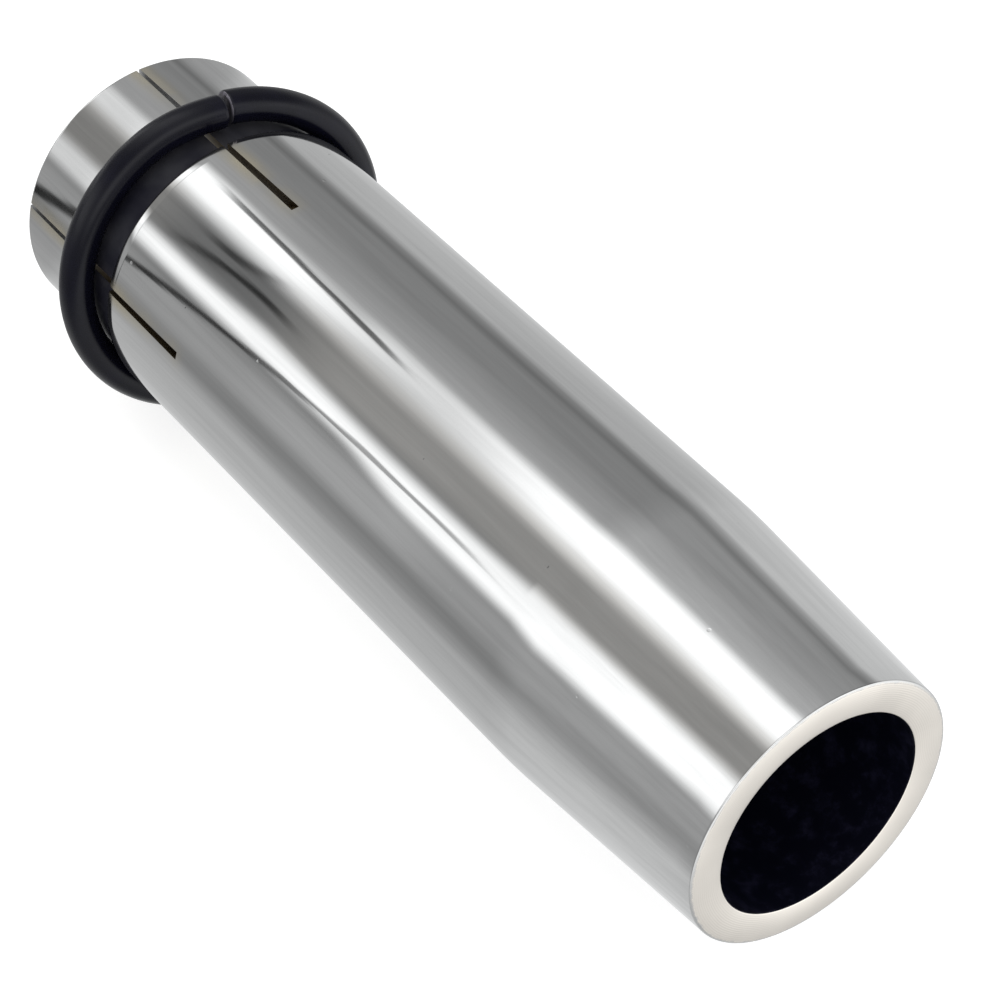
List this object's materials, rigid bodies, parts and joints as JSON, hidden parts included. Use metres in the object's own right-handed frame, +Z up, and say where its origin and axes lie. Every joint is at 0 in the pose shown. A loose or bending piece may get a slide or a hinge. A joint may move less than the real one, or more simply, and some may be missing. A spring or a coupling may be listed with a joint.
{
  "type": "welding gas nozzle",
  "caption": "Push-on gas nozzle for a wire-feed welding torch: a plated tapered tube whose slotted spring tail is clamped by a split black wire ring.",
  "frame": {"origin": "on the table, under the middle of the nozzle's length and its axis", "axes": "+X along the nozzle from the slotted tail to the tip, +Z up, the axis level"},
  "size_m": [0.084, 0.0284, 0.0284],
  "materials": {
    "plated_nickel": "bright turned nickel plate over copper, dark in the bore",
    "blackened_wire": "matt blue-black spring wire"
  },
  "bodies": {
    "nozzle": {"nozzle_body": "plated_nickel"},
    "ring": {"clamp_ring": "blackened_wire"}
  },
  "joints": [
    {"name": "ring_turn", "type": "hinge", "parent": "nozzle", "child": "ring", "pos_m": [-0.0316, 0, 0.01428], "axis": [1, 0, 0], "continuous": true}
  ]
}
